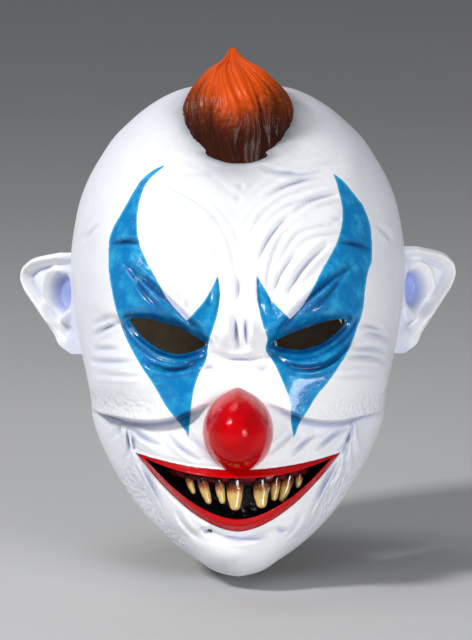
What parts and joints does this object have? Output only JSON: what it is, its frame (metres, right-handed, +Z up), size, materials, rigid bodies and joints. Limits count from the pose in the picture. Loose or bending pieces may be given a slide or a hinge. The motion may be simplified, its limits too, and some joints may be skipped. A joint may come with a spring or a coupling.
{
  "type": "clown mask",
  "caption": "Over-the-head moulded latex clown mask with open eye holes, jug ears, ball nose, hair tuft, and a toothed grin backed by a dark pocket; hollow and open at the neck.",
  "frame": {"origin": "inside of the crown, where the mask rests on the wearer's head", "axes": "+Z up through the crown; the face looks along -Y; +X to the right of someone facing it"},
  "size_m": [0.241, 0.2432, 0.2833],
  "materials": {
    "skin_white": "satin white latex, painted blue round the eyes and red on the lips",
    "nose_red": "glossy red paint on latex",
    "hair_orange": "latex strands shaded from orange to near black",
    "mouth_black": "glossy black paint on latex",
    "gum_red": "glossy dark red",
    "tooth_cream": "glossy cream, stained brown to dark red at the roots"
  },
  "bodies": {
    "root": {"mask_shell": "skin_white", "ear_left": "skin_white", "ear_right": "skin_white", "nose": "nose_red", "hair_tuft": "hair_orange", "mouth_pocket": "mouth_black", "upper_gum": "gum_red", "tooth_1": "tooth_cream", "tooth_2": "tooth_cream", "tooth_3": "tooth_cream", "tooth_4": "tooth_cream", "tooth_5": "tooth_cream", "tooth_6": "tooth_cream", "tooth_7": "tooth_cream", "tooth_8": "tooth_cream"}
  },
  "joints": []
}
